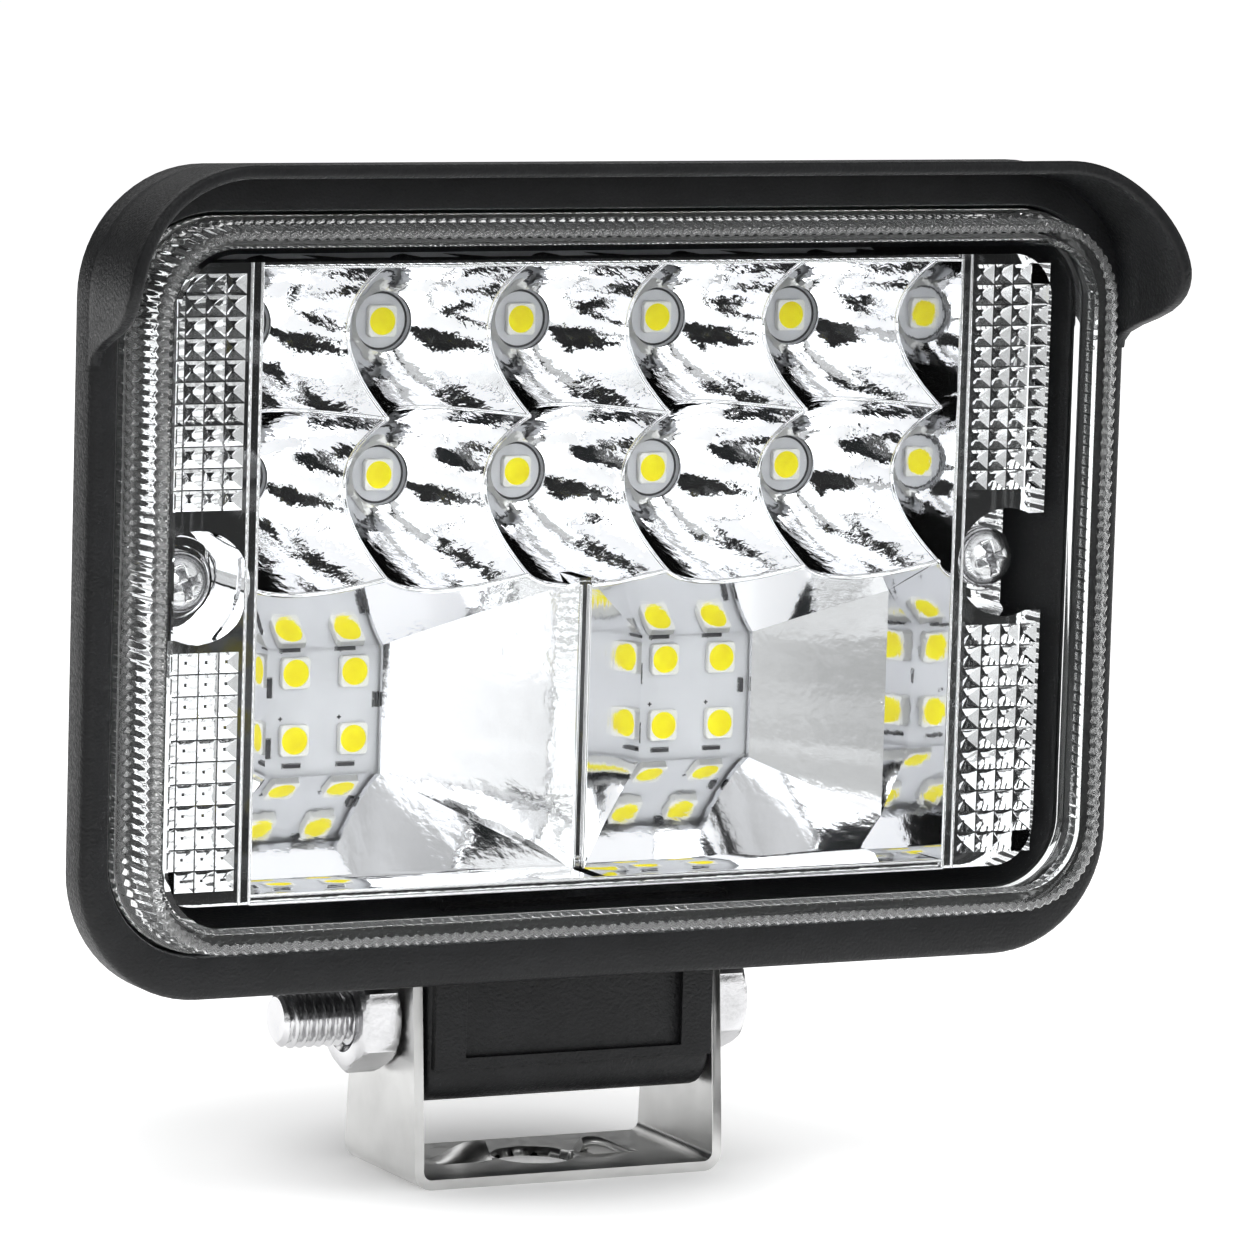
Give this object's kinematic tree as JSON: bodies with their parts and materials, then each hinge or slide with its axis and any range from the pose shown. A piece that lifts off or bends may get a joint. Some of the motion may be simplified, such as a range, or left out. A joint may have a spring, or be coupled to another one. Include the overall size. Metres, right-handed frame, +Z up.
{
  "type": "LED work light",
  "caption": "Rectangular LED fog and work light: finned black housing with a visor, clear ribbed lens, mirror reflector, and a tilting bolt in a steel U bracket.",
  "frame": {"origin": "middle of the bracket's base, on its underside, at the fixing hole's centre", "axes": "+Z up, -Y the way the lamp shines, +X along the tilt bolt from the nut to the head"},
  "size_m": [0.1104, 0.0514, 0.1004],
  "materials": {
    "powder_coat": "fine-grained black powder coat on die-cast aluminium",
    "clear_lens": "clear polycarbonate, ribbed side wall, plain polished face",
    "seal_rubber": "black silicone",
    "mirror_coat": "vacuum-metallised mirror over a plastic moulding",
    "board": "aluminium circuit board with light solder mask",
    "thermal_pad": "grey-blue silicone heat pad",
    "led_package": "white package with a yellow phosphor disc",
    "screw_steel": "zinc-plated pan-head screw",
    "component_black": "black moulded component",
    "capacitor_can": "bare aluminium can",
    "red_wire": "red insulated wire",
    "black_wire": "black insulated wire",
    "gland_plastic": "black nylon gland",
    "vent_rubber": "black breather plug",
    "bolt_steel": "bright zinc-plated hardware",
    "sheet_steel": "satin stainless sheet"
  },
  "bodies": {
    "mount": {"bracket": "sheet_steel", "tilt_bolt": "bolt_steel", "lock_nut": "bolt_steel"},
    "lamp": {"housing": "powder_coat", "lens": "clear_lens", "lens_seal": "seal_rubber", "reflector": "mirror_coat", "led_board": "board", "thermal_pad": "thermal_pad", "spot_led_1": "led_package", "spot_led_2": "led_package", "spot_led_3": "led_package", "spot_led_4": "led_package", "spot_led_5": "led_package", "spot_led_6": "led_package", "spot_led_7": "led_package", "spot_led_8": "led_package", "spot_led_9": "led_package", "spot_led_10": "led_package", "flood_led_1": "led_package", "flood_led_2": "led_package", "flood_led_3": "led_package", "flood_led_4": "led_package", "flood_led_5": "led_package", "flood_led_6": "led_package", "flood_led_7": "led_package", "flood_led_8": "led_package", "reflector_screw_left": "screw_steel", "reflector_screw_right": "screw_steel", "board_screw_1": "screw_steel", "board_screw_2": "screw_steel", "board_screw_3": "screw_steel", "board_screw_4": "screw_steel", "driver_chip": "component_black", "rectifier_diode": "component_black", "sense_resistor": "component_black", "driver_inductor": "component_black", "driver_capacitor": "capacitor_can", "positive_lead": "red_wire", "negative_lead": "black_wire", "cable_gland": "gland_plastic", "breather_vent": "vent_rubber"}
  },
  "joints": [
    {"name": "lamp_tilt", "type": "hinge", "parent": "mount", "child": "lamp", "pos_m": [0, 0, 0.0162], "axis": [1, 0, 0], "range_deg": [-70, 65]}
  ]
}
